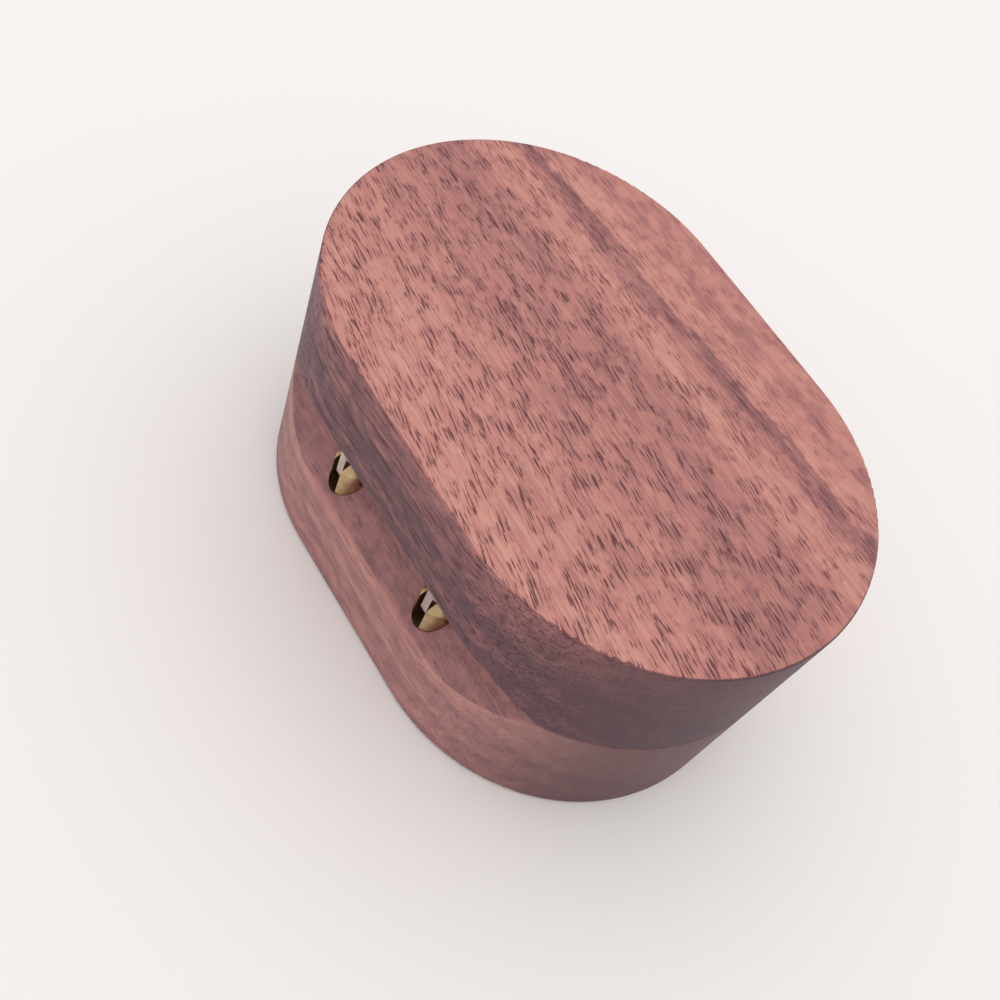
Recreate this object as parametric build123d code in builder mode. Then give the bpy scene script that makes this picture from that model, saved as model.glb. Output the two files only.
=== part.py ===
from build123d import *
from math import radians, sqrt, tan
import os

# Obround walnut ring box: a milled base and lid on two concealed barrel hinges.
#
# X runs along the box, +Y towards the hinges, +Z up. The origin is the middle of the underside.
# Each barrel hinge has two barrels joined by a link on two pins, so the lid turns on the upper
# pins while the links turn on the lower ones. Millimetres throughout.

# Wooden blocks
box_length = 80.5
box_width = 55.0
base_height = 20.0
lid_height = 19.9
shut_gap = 0.1
wall = 8.0
base_floor = 4.0
lid_top = 5.0
rear_flat = 5.5
top_ease = 0.4
bottom_ease = 0.8
shut_ease = 0.2
crease_ease = 2.0
mouth_ease = 0.5

# Barrel hinges
hinge_spacing = 21.0
hinge_inset = 3.5
hinge_rise = 1.7
barrel_diameter = 5.0
barrel_length = 9.8
barrel_ease = 0.3
knuckle_gap = 0.1
glue_gap = 0.05
hole_end_gap = 0.3
pin_diameter = 1.2
pin_end_gap = 0.16
link_thickness = 1.2
link_shoulder = 0.75
link_tail = 0.6
link_offset = 0.4
link_side_gap = 0.5
slot_run_out = 2.6
link_ease = 0.12
pin_running_gap = 0.03

# Magnets
magnet_diameter = 4.0
magnet_thickness = 2.0
magnet_spacing = 24.0
magnet_recess = 0.1

# Lining and cushions
card_thickness = 1.2
card_gap = 0.2
cushion_height = 10.3
cushion_gap = 0.4
cushion_round = 3.0
cushion_foot_round = 0.6
ring_slot = 4.8
lid_pad_thickness = 3.0
lid_pad_gap = 1.0
lid_pad_round = 1.2

# Levels and places that follow from the sizes above
joint_z = base_height + shut_gap / 2
lid_z = base_height + shut_gap
box_top = lid_z + lid_height
back_y = box_width / 2
cavity_length = box_length - 2 * wall
cavity_width = box_width - 2 * wall
liner_top = base_floor + card_thickness
recess_top = box_top - lid_top
hinge_y = back_y - hinge_inset
pin_spacing = barrel_diameter + knuckle_gap
hinge_z = joint_z + hinge_rise
base_pin_z = hinge_z - pin_spacing / 2
lid_pin_z = hinge_z + pin_spacing / 2
barrel_radius = barrel_diameter / 2
barrel_bottom = base_pin_z + barrel_radius - barrel_length
hinge_hole_radius = barrel_radius + glue_gap
hinge_hole_bottom = barrel_bottom - hole_end_gap
hinge_hole_top = 2 * hinge_z - hinge_hole_bottom
magnet_y = wall / 2 - box_width / 2
magnet_depth = magnet_thickness + 2 * magnet_recess
link_width = barrel_diameter - 2 * link_shoulder
link_slot_width = link_thickness + 2 * link_side_gap
pin_length = barrel_diameter - 2 * pin_end_gap
mating_plane = Plane.XY.offset(joint_z)
hinge_plane = Plane.XY.offset(hinge_z)
sides = {"left": -1, "right": 1}

os.makedirs("parts", exist_ok=True)


def hinge_places():
    """The two hinge centres in plan."""
    return [(side * hinge_spacing / 2, hinge_y) for side in sides.values()]


def magnet_places():
    """The two magnet centres in plan, in the front wall."""
    return [(side * magnet_spacing / 2, magnet_y) for side in sides.values()]


# Rear notch: the wedge cut away between the base's mating face and its rear wall, at 45 degrees,
# easing into the wall through an arc. The lid has the same cut, mirrored.
ease_run = crease_ease * tan(radians(22.5))
with BuildPart() as rear_notch:
    with BuildSketch(Plane.YZ):
        with BuildLine():
            slope = Line(
                (back_y - rear_flat, base_height),
                (back_y - ease_run / sqrt(2), base_height - rear_flat + ease_run / sqrt(2)),
            )
            bend = TangentArc(
                slope @ 1, (back_y, base_height - rear_flat - ease_run), tangent=slope % 1
            )
            Polyline(
                bend @ 1,
                (back_y + rear_flat, base_height - rear_flat - ease_run),
                (back_y + rear_flat, base_height),
                slope @ 0,
            )
        make_face()
    extrude(amount=box_length, both=True)


# Base block: milled from one piece of walnut, with the ring cavity, the sloping rear flat that
# exposes the hinges, two hinge holes and two magnet holes.
with BuildPart() as base_block:
    with BuildSketch():
        SlotOverall(box_length, box_width)
    extrude(amount=base_height)
    fillet(base_block.faces().sort_by(Axis.Z)[0].edges(), bottom_ease)
    fillet(base_block.faces().sort_by(Axis.Z)[-1].edges(), shut_ease)
    add(rear_notch.part, mode=Mode.SUBTRACT)
    with BuildSketch(Plane.XY.offset(base_height)):
        SlotOverall(cavity_length, cavity_width)
    extrude(amount=base_floor - base_height, mode=Mode.SUBTRACT)
    mouth = base_block.faces().filter_by(Axis.Z).sort_by(Axis.Z)[-1].inner_wires()
    fillet(mouth.edges(), mouth_ease)
    with BuildSketch(Plane.XY.offset(base_height)):
        with Locations(*hinge_places()):
            Circle(hinge_hole_radius)
    extrude(amount=hinge_hole_bottom - base_height, mode=Mode.SUBTRACT)
    with BuildSketch(Plane.XY.offset(base_height)):
        with Locations(*magnet_places()):
            Circle(magnet_diameter / 2 + glue_gap)
    extrude(amount=-magnet_depth, mode=Mode.SUBTRACT)
base_block.part.label = "base_block"
export_step(base_block.part, "parts/base_block.step")


# Lid block: the other half of the same walnut, with a deeper recess and the mirrored rear flat.
with BuildPart() as lid_block:
    with BuildSketch(Plane.XY.offset(lid_z)):
        SlotOverall(box_length, box_width)
    extrude(amount=lid_height)
    fillet(lid_block.faces().sort_by(Axis.Z)[-1].edges(), top_ease)
    fillet(lid_block.faces().sort_by(Axis.Z)[0].edges(), shut_ease)
    mirror(rear_notch.part, about=mating_plane, mode=Mode.SUBTRACT)
    with BuildSketch(Plane.XY.offset(lid_z)):
        SlotOverall(cavity_length, cavity_width)
    extrude(amount=recess_top - lid_z, mode=Mode.SUBTRACT)
    mouth = lid_block.faces().filter_by(Axis.Z).sort_by(Axis.Z)[0].inner_wires()
    fillet(mouth.edges(), mouth_ease)
    with BuildSketch(Plane.XY.offset(lid_z)):
        with Locations(*hinge_places()):
            Circle(hinge_hole_radius)
    extrude(amount=hinge_hole_top - lid_z, mode=Mode.SUBTRACT)
    with BuildSketch(Plane.XY.offset(lid_z)):
        with Locations(*magnet_places()):
            Circle(magnet_diameter / 2 + glue_gap)
    extrude(amount=magnet_depth, mode=Mode.SUBTRACT)
lid_block.part.label = "lid_block"
export_step(lid_block.part, "parts/lid_block.step")


# Barrel hinges: on each side a brass barrel glued in the base and one in the lid, both slotted
# for a link plate that turns on a pin through each barrel. A barrel's end is domed about its
# pin and then runs off at 45 degrees, so the two ends roll past each other as the lid swings.
# The slots are cut off centre and run on past the link's ends, where the cutter left them.
tip = barrel_radius / sqrt(2)
tip_start = barrel_radius * (sqrt(2) - 1)
for side, (hinge_x, _) in zip(sides, hinge_places()):
    barrel_plane = Plane((hinge_x, hinge_y, base_pin_z), x_dir=(1, 0, 0), z_dir=(0, -1, 0))
    across = Plane.YZ.offset(hinge_x)
    link_plane = Plane.YZ.offset(hinge_x + link_offset)

    with BuildPart() as base_barrel:
        with BuildSketch(barrel_plane):
            with BuildLine():
                Polyline(
                    (0, barrel_radius),
                    (0, barrel_radius - barrel_length),
                    (barrel_radius - barrel_ease, barrel_radius - barrel_length),
                    (barrel_radius, barrel_radius - barrel_length + barrel_ease),
                    (barrel_radius, tip_start),
                    (tip, tip),
                )
                CenterArc((0, 0), barrel_radius, 45, 45)
            make_face()
        revolve(axis=Axis((hinge_x, hinge_y, base_pin_z), (0, 0, 1)))
        with BuildSketch(link_plane):
            with Locations((hinge_y, base_pin_z - link_tail - link_width / 2 - slot_run_out)):
                Rectangle(2 * barrel_diameter, barrel_length, align=(Align.CENTER, Align.MIN))
        extrude(amount=link_slot_width / 2, both=True, mode=Mode.SUBTRACT)
        with BuildSketch(across):
            with Locations((hinge_y, base_pin_z)):
                Circle(pin_diameter / 2)
        extrude(amount=barrel_diameter, both=True, mode=Mode.SUBTRACT)
    base_barrel.part.label = f"base_barrel_{side}"
    export_step(base_barrel.part, f"parts/base_barrel_{side}.step")

    with BuildPart() as lid_barrel:
        mirror(base_barrel.part, about=hinge_plane)
    lid_barrel.part.label = f"lid_barrel_{side}"
    export_step(lid_barrel.part, f"parts/lid_barrel_{side}.step")

    with BuildPart() as base_pin:
        with BuildSketch(across):
            with Locations((hinge_y, base_pin_z)):
                Circle(pin_diameter / 2)
        extrude(amount=pin_length / 2, both=True)
    base_pin.part.label = f"base_pin_{side}"
    export_step(base_pin.part, f"parts/base_pin_{side}.step")

    with BuildPart() as lid_pin:
        mirror(base_pin.part, about=hinge_plane)
    lid_pin.part.label = f"lid_pin_{side}"
    export_step(lid_pin.part, f"parts/lid_pin_{side}.step")

    with BuildPart() as link:
        with BuildSketch(link_plane):
            with Locations((hinge_y, hinge_z)):
                SlotCenterToCenter(pin_spacing + 2 * link_tail, link_width, rotation=90)
            with Locations((hinge_y, base_pin_z), (hinge_y, lid_pin_z)):
                Circle(pin_diameter / 2 + pin_running_gap, mode=Mode.SUBTRACT)
        extrude(amount=link_thickness / 2, both=True)
        fillet(link.faces().filter_by(Axis.X).edges(), link_ease)
    link.part.label = f"link_{side}"
    export_step(link.part, f"parts/link_{side}.step")


# Magnets: a disc pressed into each side of the front wall, in the base and in the lid.
for side, (magnet_x, _) in zip(sides, magnet_places()):
    with BuildPart() as base_magnet:
        with BuildSketch(Plane.XY.offset(base_height - magnet_recess)):
            with Locations((magnet_x, magnet_y)):
                Circle(magnet_diameter / 2)
        extrude(amount=-magnet_thickness)
        chamfer(base_magnet.edges().filter_by(GeomType.CIRCLE), magnet_recess)
    base_magnet.part.label = f"base_magnet_{side}"
    export_step(base_magnet.part, f"parts/base_magnet_{side}.step")

    with BuildPart() as lid_magnet:
        mirror(base_magnet.part, about=mating_plane)
    lid_magnet.part.label = f"lid_magnet_{side}"
    export_step(lid_magnet.part, f"parts/lid_magnet_{side}.step")


# Base lining: a card cut to the cavity and covered in velvet, glued to the floor.
with BuildPart() as base_liner:
    with BuildSketch(Plane.XY.offset(base_floor)):
        SlotOverall(cavity_length - 2 * card_gap, cavity_width - 2 * card_gap)
    extrude(amount=card_thickness)
base_liner.part.label = "base_liner"
export_step(base_liner.part, "parts/base_liner.step")


# Ring cushions: two velvet rolls that fill the cavity each side of the slot that holds the rings.
for name, way in (("front", -1), ("rear", 1)):
    with BuildPart() as cushion:
        with BuildSketch(Plane.XY.offset(liner_top)):
            SlotOverall(cavity_length - 2 * cushion_gap, cavity_width - 2 * cushion_gap)
            with Locations((0, way * (ring_slot + cavity_width) / 2)):
                Rectangle(cavity_length, cavity_width, mode=Mode.INTERSECT)
        extrude(amount=cushion_height)
        fillet(cushion.faces().sort_by(Axis.Z)[0].edges(), cushion_foot_round)
        fillet(cushion.faces().sort_by(Axis.Z)[-1].edges(), cushion_round)
    cushion.part.label = f"cushion_{name}"
    export_step(cushion.part, f"parts/cushion_{name}.step")


# Lid lining: a velvet covered card glued to the top of the recess.
with BuildPart() as lid_card:
    with BuildSketch(Plane.XY.offset(recess_top)):
        SlotOverall(cavity_length - 2 * card_gap, cavity_width - 2 * card_gap)
    extrude(amount=-card_thickness)
lid_card.part.label = "lid_card"
export_step(lid_card.part, "parts/lid_card.step")


# Lid pad: a thin velvet pad under the card, which keeps the rings from the wood.
with BuildPart() as lid_pad:
    with BuildSketch(Plane.XY.offset(recess_top - card_thickness)):
        SlotOverall(cavity_length - 2 * lid_pad_gap, cavity_width - 2 * lid_pad_gap)
    extrude(amount=-lid_pad_thickness)
    fillet(lid_pad.faces().sort_by(Axis.Z)[0].edges(), lid_pad_round)
lid_pad.part.label = "lid_pad"
export_step(lid_pad.part, "parts/lid_pad.step")
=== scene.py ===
import math

import bmesh
import bpy
from mathutils import Matrix, Vector, noise


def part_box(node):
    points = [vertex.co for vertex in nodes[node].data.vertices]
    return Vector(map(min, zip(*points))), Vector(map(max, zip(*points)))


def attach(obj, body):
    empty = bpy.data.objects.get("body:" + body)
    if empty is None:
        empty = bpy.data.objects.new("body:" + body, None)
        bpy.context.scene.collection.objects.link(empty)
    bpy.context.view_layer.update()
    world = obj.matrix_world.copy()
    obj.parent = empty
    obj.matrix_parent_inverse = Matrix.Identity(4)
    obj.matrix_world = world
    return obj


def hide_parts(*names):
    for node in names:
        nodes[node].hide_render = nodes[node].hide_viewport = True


# Looks of the walnut ring box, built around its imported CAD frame. Metres, in the frame's axes.
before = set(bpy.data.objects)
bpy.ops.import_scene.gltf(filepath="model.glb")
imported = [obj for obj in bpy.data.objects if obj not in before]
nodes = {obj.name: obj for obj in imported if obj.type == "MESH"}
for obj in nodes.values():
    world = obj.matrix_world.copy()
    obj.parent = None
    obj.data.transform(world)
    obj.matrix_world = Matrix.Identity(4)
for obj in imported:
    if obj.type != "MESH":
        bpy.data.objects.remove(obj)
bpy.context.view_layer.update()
MM = 0.001


# ---------------------------------------------------------------------------------------------
# Base block. One piece of walnut, milled to an obround, hollowed for the rings, with its rear
# edge cut back at 45 degrees to show the hinges. Sanded and oiled, so it stays open-pored.
# ---------------------------------------------------------------------------------------------
def linear(code):
    """A linear RGBA colour from an sRGB hex code such as 'c89684'."""
    shares = [int(code[i:i + 2], 16) / 255 for i in (0, 2, 4)]
    return [s / 12.92 if s <= 0.04045 else ((s + 0.055) / 1.055) ** 2.4 for s in shares] + [1.0]


def add(tree, kind, inputs=None, **settings):
    """Add a node with its settings. An input that is a socket is linked, any other is a value."""
    node = tree.nodes.new(kind)
    for name, value in settings.items():
        setattr(node, name, value)
    for name, value in (inputs or {}).items():
        if isinstance(value, bpy.types.NodeSocket):
            tree.links.new(value, node.inputs[name])
        else:
            node.inputs[name].default_value = value
    return node


def new_material(name):
    """An empty node material with its shader and output joined."""
    material = bpy.data.materials.new(name)
    material.use_nodes = True
    tree = material.node_tree
    tree.nodes.clear()
    shader = tree.nodes.new("ShaderNodeBsdfPrincipled")
    output = tree.nodes.new("ShaderNodeOutputMaterial")
    tree.links.new(shader.outputs["BSDF"], output.inputs["Surface"])
    return material, tree, shader


def dress(obj, material):
    """Give every face of an object one material."""
    obj.data.materials.clear()
    obj.data.materials.append(material)


def ramp(tree, factor, stops):
    """A colour ramp through (position, colour) stops; a single number is a grey."""
    node = add(tree, "ShaderNodeValToRGB", {"Fac": factor})
    points = node.color_ramp.elements
    while len(points) < len(stops):
        points.new(0.5)
    for point, (place, colour) in zip(points, stops):
        point.position = place
    for point, (place, colour) in zip(points, stops):
        point.color = colour if isinstance(colour, list) else (colour, colour, colour, 1)
    return node.outputs["Color"]


# Growth rings as (radius from the pith in mm, depth of tone from 0 pale to 1 dark).
GROWTH = (
    (30, 0.55), (34, 0.75), (35, 0.45), (39, 0.70), (40, 0.42), (44, 0.66), (45.5, 0.40),
    (50, 0.28), (52, 0.16), (54, 0.22), (56.5, 0.40), (60, 0.45), (63, 0.46), (64.5, 0.22),
    (66.5, 0.16), (67.8, 0.42), (69.2, 0.78), (69.9, 0.22), (71.5, 0.20), (73, 0.42), (74.5, 0.28),
    (77, 0.35), (80, 0.25),
)


def walnut(name, pith_z, seed, painted_side_shade, painted_slope_shade, openness, mute):
    """Oiled black walnut: pinkish brown, with purple ring bands and short dark open pores.

    pith_z is the height of the tree's middle in mm and seed shifts the pattern. The side and slope
    depths paint shade on the upright sides and on the rear slope under the overhang, or paint light
    on them below zero. openness is how far the pores show, and mute how grey the board is.
    """
    material, tree, shader = new_material(name)
    place = add(tree, "ShaderNodeTexCoord")
    mm = add(tree, "ShaderNodeVectorMath", {0: place.outputs["Object"], "Scale": 1000.0},
             operation="SCALE").outputs[0]
    part = add(tree, "ShaderNodeSeparateXYZ", {0: mm}).outputs

    def maths(operation, *values):
        return add(tree, "ShaderNodeMath", dict(enumerate(values)), operation=operation).outputs[0]

    # The grain fans out along the box: across it, lengths change by this share for each mm of X.
    fan_per_mm, fan_line_y, pore_lean = 0.0025, 5.0, 0.13
    fan = maths("MULTIPLY_ADD", part["X"], fan_per_mm, 1.0)
    across = maths("MULTIPLY", maths("ADD", part["Y"], -fan_line_y), fan)
    depth = maths("ADD", part["Z"], -pith_z)
    grain = add(tree, "ShaderNodeCombineXYZ", {"X": part["X"], "Y": across, "Z": depth}).outputs[0]
    # Pores lean a few degrees across the box, as the board was sawn a little off its grain.
    leaning = add(tree, "ShaderNodeCombineXYZ", {
        "X": part["X"], "Y": maths("MULTIPLY_ADD", part["X"], pore_lean, across),
        "Z": depth}).outputs[0]

    def stretched(x, yz, shift=0.0, along=grain):
        """The grain coordinates divided by a length along the grain and one across it, in mm."""
        return add(tree, "ShaderNodeVectorMath",
                   {0: along, 1: (1 / x, 1 / yz, 1 / yz), 2: (seed + shift, seed - shift, shift)},
                   operation="MULTIPLY_ADD").outputs[0]

    def cloud(vector, detail, rough=0.5):
        """Noise about 0.5."""
        return add(tree, "ShaderNodeTexNoise",
                   {"Vector": vector, "Scale": 1.0, "Detail": detail, "Roughness": rough}).outputs

    def smooth(value, low, high):
        return add(tree, "ShaderNodeMapRange", {"Value": value, "From Min": low, "From Max": high},
                   interpolation_type="SMOOTHSTEP").outputs["Result"]

    # Ring field: distance from the pith, bent by slow waves and roughened at the pore scale.
    wave = add(tree, "ShaderNodeVectorMath",
               {0: cloud(stretched(26, 8, 3.1), 2)["Color"], 1: (0, 3.0, 3.0), 2: (0, -26.5, -1.5)},
               operation="MULTIPLY_ADD").outputs[0]
    bent = add(tree, "ShaderNodeVectorMath", {0: grain, 1: wave}, operation="ADD").outputs[0]
    flat = add(tree, "ShaderNodeVectorMath", {0: bent, 1: (0, 1, 1)}, operation="MULTIPLY").outputs[0]
    radius = add(tree, "ShaderNodeVectorMath", {0: flat}, operation="LENGTH").outputs["Value"]
    ragged, ragged_mm = cloud(stretched(3.2, 0.7, 7.7), 2, 0.6)["Fac"], 3.4
    ringed = maths("MULTIPLY_ADD", ragged, ragged_mm, maths("ADD", radius, -ragged_mm / 2))
    low, high = GROWTH[0][0], GROWTH[-1][0]
    share = maths("DIVIDE", maths("ADD", ringed, -low), high - low)
    band = ramp(tree, share, [((r - low) / (high - low), t) for r, t in GROWTH])

    # Painted shade: the upright sides, and the rear slope under the overhang, are darkened for the
    # way the light falls on them; a depth below zero lightens them instead, as painted light.
    normal = add(tree, "ShaderNodeSeparateXYZ", {0: place.outputs["Normal"]}).outputs
    upright = maths("ABSOLUTE", normal["Z"])
    sawn_side = smooth(upright, 0.85, 0.3)
    slope = maths("MULTIPLY", smooth(upright, 0.5, 0.68), smooth(upright, 0.92, 0.75))
    side = maths("MULTIPLY_ADD", sawn_side, painted_side_shade, maths("MULTIPLY", slope, painted_slope_shade))

    mottle = cloud(stretched(9, 1.6, 1.3), 3, 0.6)["Fac"]
    fibre = cloud(stretched(6, 0.22, 5.9), 3, 0.65)["Fac"]
    tone = maths("MULTIPLY_ADD", mottle, 0.50, maths("MULTIPLY_ADD", band, 0.8, -0.165))
    tone = maths("MULTIPLY_ADD", fibre, 0.55, maths("ADD", maths("ADD", tone, side), -0.275))
    ladder = smooth(cloud(stretched(2.4, 1.9, 2.2), 2)["Fac"], 0.38, 0.60)
    tone = maths("MULTIPLY_ADD", ladder, 0.14, maths("ADD", tone, -0.07))
    wood = ramp(tree, tone, [
        (0.0, linear("d0998b")), (0.28, linear("bf8278")), (0.52, linear("a56d6a")),
        (0.76, linear("845558")), (1.0, linear("5e3e46")),
    ])

    # Open pores: short dark dashes in ladders on the broad faces, long dark lines on sawn sides.
    dash = smooth(cloud(stretched(2.4, 0.215, 0.4, leaning), 1.0)["Fac"], 0.55, 0.605)
    broad = maths("MULTIPLY_ADD", sawn_side, -0.7, 1.0)
    in_ladder = maths("MULTIPLY", maths("MULTIPLY", dash, broad),
                      maths("MULTIPLY_ADD", ladder, 0.8, 0.2))
    line = smooth(cloud(stretched(15.0, 0.30, 8.3), 1.5)["Fac"], 0.56, 0.63)
    edge_on = maths("MULTIPLY", line, maths("MULTIPLY_ADD", sawn_side, 0.7, 0.25))
    # The front edge of the board is closer grained, so its pores fade between two lines along it.
    faint_y, full_y, faintest = -22.0, -5.0, 0.35
    close_grained = add(tree, "ShaderNodeMapRange", {"Value": part["Y"], "From Min": faint_y,
                        "From Max": full_y, "To Min": faintest}).outputs["Result"]
    open_grain = maths("MULTIPLY", maths("MAXIMUM", in_ladder, edge_on), close_grained)
    # Some of the board is duller, nearer to grey.
    wood = add(tree, "ShaderNodeMix", {"Factor": mute, 6: wood, 7: linear("85777b")},
               data_type="RGBA").outputs[2]
    # On the round ends the pores are cut across and filled by sanding, so they hardly show.
    end = smooth(maths("ABSOLUTE", normal["X"]), 0.2, 0.95)
    filled = maths("MULTIPLY_ADD", end, -0.75, 1.0)
    pore = maths("MULTIPLY", maths("MULTIPLY", open_grain, filled), openness)
    colour = add(tree, "ShaderNodeMix", {"Factor": maths("MULTIPLY", pore, 0.84), 6: wood,
                 7: linear("512d34")}, data_type="RGBA").outputs[2]

    # End grain drinks more oil, so the round ends are darker and duller; much of this darkening is
    # painted shade, deeper than the oil alone would give.
    colour = add(tree, "ShaderNodeMix", {"Factor": maths("MULTIPLY", end, 0.84), 6: colour,
                 7: linear("493039")}, data_type="RGBA").outputs[2]
    tree.links.new(colour, shader.inputs["Base Color"])

    dull = maths("MULTIPLY_ADD", pore, 0.2, maths("MULTIPLY_ADD", fibre, 0.2, 0.42))
    tree.links.new(dull, shader.inputs["Roughness"])
    height = maths("MULTIPLY_ADD", fibre, 0.15, maths("MULTIPLY", pore, -0.8))
    bump = add(tree, "ShaderNodeBump", {"Height": height, "Strength": 0.8, "Distance": 0.06 * MM})
    tree.links.new(bump.outputs["Normal"], shader.inputs["Normal"])
    shader.inputs["IOR"].default_value = 1.47
    shader.inputs["Specular IOR Level"].default_value = 0.35
    return material


# Painted light lifts the base's upright sides, and painted shade darkens its rear slope.
dress(nodes["base_block"],
      walnut("oiled_walnut_base", pith_z=-32.0, seed=4.0, painted_side_shade=-0.10, painted_slope_shade=0.28,
             openness=0.4, mute=0.22))


# ---------------------------------------------------------------------------------------------
# Lid block. The next length of the same walnut board, milled to match, with a deeper recess.
# ---------------------------------------------------------------------------------------------
# Painted shade darkens the lid's upright sides and its rear slope.
dress(nodes["lid_block"],
      walnut("oiled_walnut_lid", pith_z=-12.0, seed=0.0, painted_side_shade=0.42, painted_slope_shade=0.3,
             openness=1.0, mute=0.04))


# ---------------------------------------------------------------------------------------------
# Hinge barrels. Turned brass, slotted for the link and glued into the wood; the bright turning
# marks run round them, and handling has toned the brass down.
# ---------------------------------------------------------------------------------------------
def metal(name, dark, light, rough, marks, cloud_size):
    """A worked metal: marks is its tool marks' spacing along X, Y and Z, in mm."""
    material, tree, shader = new_material(name)
    place = add(tree, "ShaderNodeTexCoord")
    lines = add(tree, "ShaderNodeMapping", {"Vector": place.outputs["Object"],
                "Scale": [1 / (size * MM) for size in marks]})
    worked = add(tree, "ShaderNodeTexNoise", {"Vector": lines.outputs[0], "Scale": 1.0, "Detail": 3})
    cloudy = add(tree, "ShaderNodeTexNoise", {"Vector": place.outputs["Object"],
                 "Scale": 1 / (cloud_size * MM), "Detail": 4})
    tint = ramp(tree, cloudy.outputs["Fac"], [(0.35, linear(dark)), (0.65, linear(light))])
    tree.links.new(tint, shader.inputs["Base Color"])
    varies = 0.09
    gloss = add(tree, "ShaderNodeMapRange", {"Value": worked.outputs["Fac"],
                "To Min": rough - varies, "To Max": rough + varies})
    tree.links.new(gloss.outputs[0], shader.inputs["Roughness"])
    bump = add(tree, "ShaderNodeBump", {"Height": worked.outputs["Fac"], "Strength": 0.3,
               "Distance": 0.01 * MM})
    tree.links.new(bump.outputs["Normal"], shader.inputs["Normal"])
    shader.inputs["Metallic"].default_value = 1.0
    return material


turned_brass = metal("turned_brass", "ab926d", "c9ae86", 0.33, (8.0, 8.0, 0.11), 1.4)
ends, sides = ("base", "lid"), ("left", "right")
for end in ends:
    for side in sides:
        dress(nodes[f"{end}_barrel_{side}"], turned_brass)


# ---------------------------------------------------------------------------------------------
# Hinge pins. Hard drawn steel wire, cut to length and pressed into the barrels.
# ---------------------------------------------------------------------------------------------
drawn_steel = metal("drawn_steel_wire", "77726e", "9c9894", 0.32, (4.0, 0.08, 0.08), 1.0)
for end in ends:
    for side in sides:
        dress(nodes[f"{end}_pin_{side}"], drawn_steel)


# ---------------------------------------------------------------------------------------------
# Link plates. Blanked from steel strip, tumbled and nickel plated, so they are pale and satin
# with fine scuffs along them.
# ---------------------------------------------------------------------------------------------
# The pink cast of both tones is a painted reflection of the walnut around the links, laid over the
# plating's own pale grey.
nickel_with_painted_reflection = metal("satin_nickel_plate", "b3a6a1", "d8ccc6", 0.42, (0.3, 0.12, 3.0), 2.2)
for side in sides:
    dress(nodes[f"link_{side}"], nickel_with_painted_reflection)


# ---------------------------------------------------------------------------------------------
# Magnets. Pressed neodymium discs in bright nickel, sunk just under the mating faces.
# ---------------------------------------------------------------------------------------------
bright_nickel = metal("bright_nickel_magnet", "bdb9b2", "d9d6d0", 0.2, (1.5, 1.5, 1.5), 3.0)
for end in ends:
    for side in sides:
        dress(nodes[f"{end}_magnet_{side}"], bright_nickel)


# ---------------------------------------------------------------------------------------------
# Base liner. A card covered in the same velvet as the cushions and glued to the cavity floor;
# it shows only at the bottom of the ring slot.
# ---------------------------------------------------------------------------------------------
def velvet(name, dark, light, pile):
    """Cotton velvet that glows at grazing angles; its lighter and darker patches, where the pile lies
    one way or the other, are painted sheen.
    """
    material, tree, shader = new_material(name)
    place = add(tree, "ShaderNodeTexCoord").outputs["Object"]
    # Painted sheen: broad patches of lighter and darker colour where the lying pile would catch the
    # light differently.
    painted_pile_sheen = add(tree, "ShaderNodeTexNoise",
              {"Vector": place, "Scale": 1 / (9 * MM), "Detail": 3, "Roughness": 0.6})
    # A tuft is drawn about twice the usual 0.12 mm or so, so that the pile shows.
    tuft = add(tree, "ShaderNodeTexNoise", {"Vector": place, "Scale": 1 / (pile * MM), "Detail": 2})
    mixed = add(tree, "ShaderNodeMath", {0: tuft.outputs["Fac"], 1: 0.45, 2: painted_pile_sheen.outputs["Fac"]},
                operation="MULTIPLY_ADD")
    tint = ramp(tree, mixed.outputs[0], [(0.50, linear(dark)), (0.95, linear(light))])
    tree.links.new(tint, shader.inputs["Base Color"])
    bump = add(tree, "ShaderNodeBump", {"Height": tuft.outputs["Fac"], "Strength": 0.6,
               "Distance": 0.08 * MM})
    tree.links.new(bump.outputs["Normal"], shader.inputs["Normal"])
    shader.inputs["Roughness"].default_value = 0.95
    shader.inputs["Specular IOR Level"].default_value = 0.15
    shader.inputs["Sheen Weight"].default_value = 0.55
    shader.inputs["Sheen Roughness"].default_value = 0.45
    shader.inputs["Sheen Tint"].default_value = linear("fff3e6")
    return material


ivory_velvet = velvet("ivory_cotton_velvet", "a8927b", "d9c8b2", 0.25)
for card in ("base_liner", "lid_card"):
    dress(nodes[card], ivory_velvet)


# ---------------------------------------------------------------------------------------------
# Ring cushions. Two rolls of soft foam wrapped in velvet and pushed into the cavity, which grip
# the rings between them. The velvet is pulled down and tucked under, so it gathers at the ends.
# ---------------------------------------------------------------------------------------------
ROOM = 10.0  # Cloth settles best near furniture size, so each piece is made ten times as large.
CLOTH_FRAMES = 20


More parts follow.
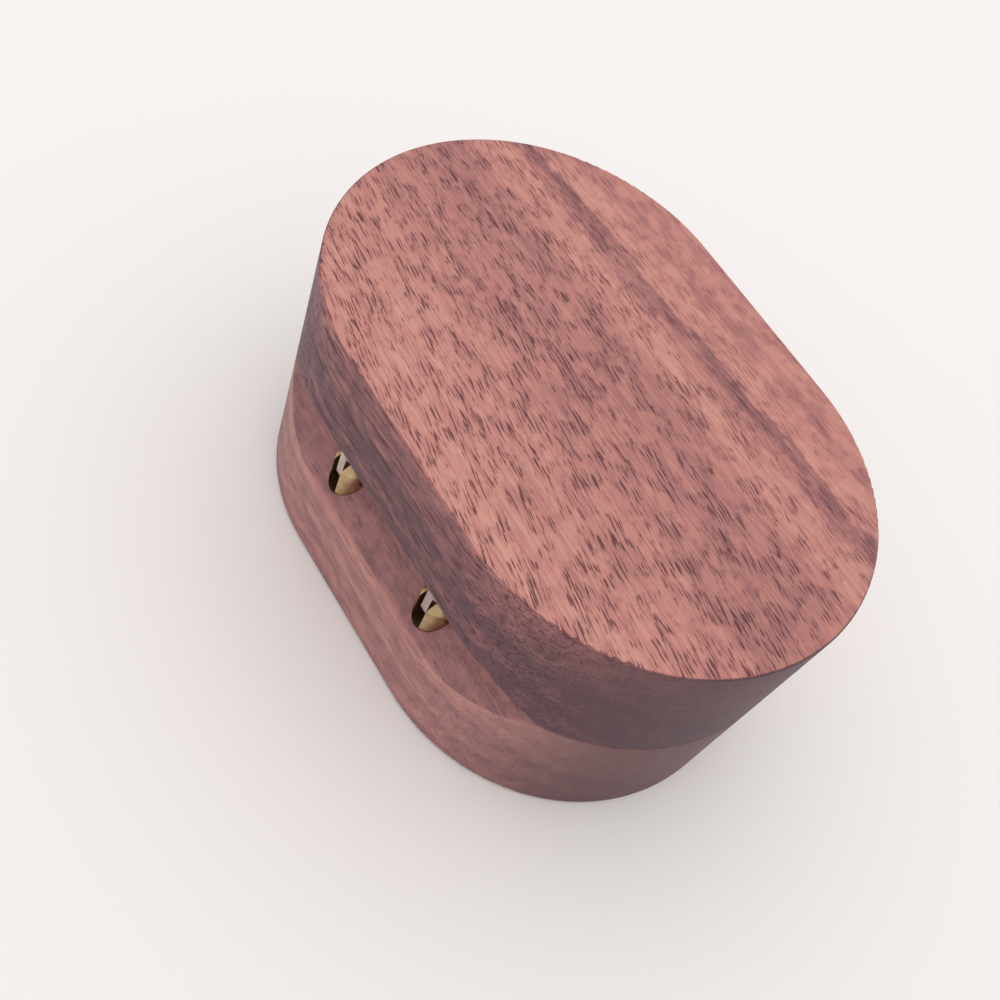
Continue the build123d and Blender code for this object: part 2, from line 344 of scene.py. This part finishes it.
def blank(node, voxel, inset):
    """A remeshed, softened and slightly smaller copy of a CAD solid, ten times its size."""
    bm = bmesh.new()
    bm.from_mesh(nodes[node].data)
    bmesh.ops.remove_doubles(bm, verts=bm.verts, dist=0.001 * MM)
    bmesh.ops.recalc_face_normals(bm, faces=bm.faces)
    bmesh.ops.scale(bm, vec=(ROOM, ROOM, ROOM), verts=bm.verts)
    mesh = bpy.data.meshes.new(node + "_velvet")
    bm.to_mesh(mesh)
    bm.free()
    piece = bpy.data.objects.new(node + "_velvet", mesh)
    bpy.context.scene.collection.objects.link(piece)
    remesh = piece.modifiers.new("remesh", "REMESH")
    remesh.mode, remesh.voxel_size = "VOXEL", voxel * MM * ROOM
    soften = piece.modifiers.new("soften", "SMOOTH")
    soften.factor, soften.iterations = 0.5, 10
    finished = baked(piece)
    normals = [v.normal.copy() for v in finished.vertices]
    for vertex, normal in zip(finished.vertices, normals):
        vertex.co -= normal * inset * MM * ROOM
    piece.data = finished
    return piece


def baked(piece):
    """The mesh of an object with its modifiers applied; the modifiers are then removed."""
    bpy.context.view_layer.update()
    graph = bpy.context.evaluated_depsgraph_get()
    mesh = bpy.data.meshes.new_from_object(piece.evaluated_get(graph))
    piece.modifiers.clear()
    return mesh


def inflate(piece, glued, pressure, cap):
    """Blow the cover up from inside, frame by frame. No point moves more than cap, in mm."""
    group = piece.vertex_groups.new(name="glued")
    group.add([v.index for v in piece.data.vertices if glued(v.co / ROOM)], 1.0, "REPLACE")
    start = [v.co.copy() for v in piece.data.vertices]
    cloth = piece.modifiers.new("cloth", "CLOTH")
    cloth.settings.vertex_group_mass = "glued"
    cloth.settings.quality = 6
    cloth.settings.use_pressure = True
    cloth.settings.uniform_pressure_force = pressure
    cloth.settings.effector_weights.gravity = 0.0
    for step in range(1, CLOTH_FRAMES + 1):
        bpy.context.scene.frame_set(step)
    mesh = baked(piece)
    bpy.context.scene.frame_set(1)
    for vertex, before in zip(mesh.vertices, start):
        move = vertex.co - before
        if move.length > cap * MM * ROOM:
            vertex.co = before + move.normalized() * cap * MM * ROOM
    piece.data = mesh
    piece.vertex_groups.clear()


def shape(piece, rule):
    """Bring a made piece back to its real size, moving each point along its normal by rule, in mm."""
    for vertex in piece.data.vertices:
        vertex.co /= ROOM
    piece.data.update()
    normals = [v.normal.copy() for v in piece.data.vertices]
    for vertex, normal in zip(piece.data.vertices, normals):
        vertex.co += normal * rule(vertex.co / MM, normal) * MM
    piece.data.update()


def finish_pad(piece, node, body):
    """One subdivision, velvet, and the piece's place in the box."""
    for face in piece.data.polygons:
        face.use_smooth = True
    smooth = piece.modifiers.new("subdivision", "SUBSURF")
    smooth.levels = smooth.render_levels = 1
    dress(piece, ivory_velvet)
    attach(piece, body)
    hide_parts(node)


for row, way in (("front", -1), ("rear", 1)):
    node = f"cushion_{row}"
    low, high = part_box(node)
    foot = low[2]
    middle_y = (low[1] + high[1]) / 2 / MM
    half_y = (high[1] - low[1]) / 2 / MM
    end_x = (high[0] - low[0]) / 2 / MM
    full_by, fold_by, rumple_by = 1.1, 0.26, 0.12
    cushion = blank(node, voxel=0.62, inset=0.45)

    def crown(place, normal):
        """A roll is fullest along its middle and drops towards its two ends."""
        over = max(0.0, 1 - ((place.y - middle_y) / half_y) ** 2)
        along = max(0.0, 1 - (abs(place.x) / end_x) ** 4)
        lift = full_by * over * along * max(0.0, normal.z)
        # Gathers: the velvet folds where it is pulled round the ends, least along the top.
        round_end = min(1.0, max(0.0, (abs(place.x) / end_x - 0.70) / 0.2))
        fold = noise.noise(Vector((place.y * 0.45, place.x * 0.12, 7 + way)))
        rumple = noise.noise(Vector((place.x * 0.11, place.y * 0.2, place.z * 0.3 + way)))
        return lift + fold_by * round_end * fold * over + rumple_by * rumple

    tucked_under = 0.9 * MM
    inflate(cushion, lambda place: place.z < foot + tucked_under, pressure=4.0, cap=0.5)
    shape(cushion, crown)
    finish_pad(cushion, node, "base")


# ---------------------------------------------------------------------------------------------
# Lid pad. Thin foam under velvet, stuck to the card in the lid, so the rings never meet wood.
# ---------------------------------------------------------------------------------------------
pad_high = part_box("lid_pad")[1]
glued_depth = 0.7 * MM
pad = blank("lid_pad", voxel=0.62, inset=0.3)
inflate(pad, lambda place: place.z > pad_high[2] - glued_depth, pressure=3.0, cap=0.4)


def puff(place, normal):
    """The pad is fullest along its middle, with a slow ripple in the velvet."""
    over = max(0.0, 1 - (place.y / (pad_high[1] / MM)) ** 2)
    ripple = noise.noise(Vector((place.x * 0.12, place.y * 0.15, 3.0)))
    return 0.5 * max(0.0, -normal.z) * over + 0.10 * ripple


shape(pad, puff)
finish_pad(pad, "lid_pad", "lid")


# ---------------------------------------------------------------------------------------------
# Studio. A pale card floor and a pale room, one broad soft light overhead, and the camera.
# ---------------------------------------------------------------------------------------------
floor_size = 9.0
floor_mesh = bpy.data.meshes.new("floor")
floor_mesh.from_pydata(
    [(x * floor_size / 2, y * floor_size / 2, 0) for x, y in ((-1, -1), (1, -1), (1, 1), (-1, 1))],
    [], [(0, 1, 2, 3)])
floor = bpy.data.objects.new("floor", floor_mesh)
bpy.context.scene.collection.objects.link(floor)
floor_paint, _, floor_shader = new_material("pale_card_floor")
floor_shader.inputs["Base Color"].default_value = linear("f2f2f1")
floor_shader.inputs["Roughness"].default_value = 0.9
floor_shader.inputs["Specular IOR Level"].default_value = 0.1
dress(floor, floor_paint)

world = bpy.data.worlds.new("studio")
bpy.context.scene.world = world
world.use_nodes = True
room_light = world.node_tree.nodes["Background"].inputs
room_light["Color"].default_value = linear("fbf6f5")
room_light["Strength"].default_value = 0.93

lamp = bpy.data.lights.new("overhead", "AREA")
lamp.size, lamp.energy, lamp.color = 1.0, 1.5, linear("fff8f5")[:3]
overhead = bpy.data.objects.new("overhead", lamp)
overhead.location = (0.16, -0.04, 0.7)
aim = Vector((0, 0, 0.02)) - overhead.location
overhead.rotation_euler = aim.to_track_quat("-Z", "Y").to_euler()
bpy.context.scene.collection.objects.link(overhead)

camera_azimuth = math.radians(213.37)
camera_elevation = math.radians(53.50)
camera_roll = math.radians(28.2)
camera_place = Vector((-0.05044, 0.08342, 0.14005))
back = Vector((
    math.sin(camera_azimuth) * math.cos(camera_elevation),
    -math.cos(camera_azimuth) * math.cos(camera_elevation),
    math.sin(camera_elevation),
))
level = Vector((0, 0, 1)).cross(back).normalized()
camera_data = bpy.data.cameras.new("camera")
camera_data.sensor_width = 36.0
camera_data.lens = 42.03
camera_data.clip_start = 0.01
camera = bpy.data.objects.new("camera", camera_data)
upright = Matrix((level, back.cross(level), back)).transposed()
camera.matrix_world = (
    Matrix.Translation(camera_place) @ (upright @ Matrix.Rotation(camera_roll, 3, "Z")).to_4x4()
)
bpy.context.scene.collection.objects.link(camera)
bpy.context.scene.camera = camera
bpy.context.scene.view_settings.view_transform = "Standard"
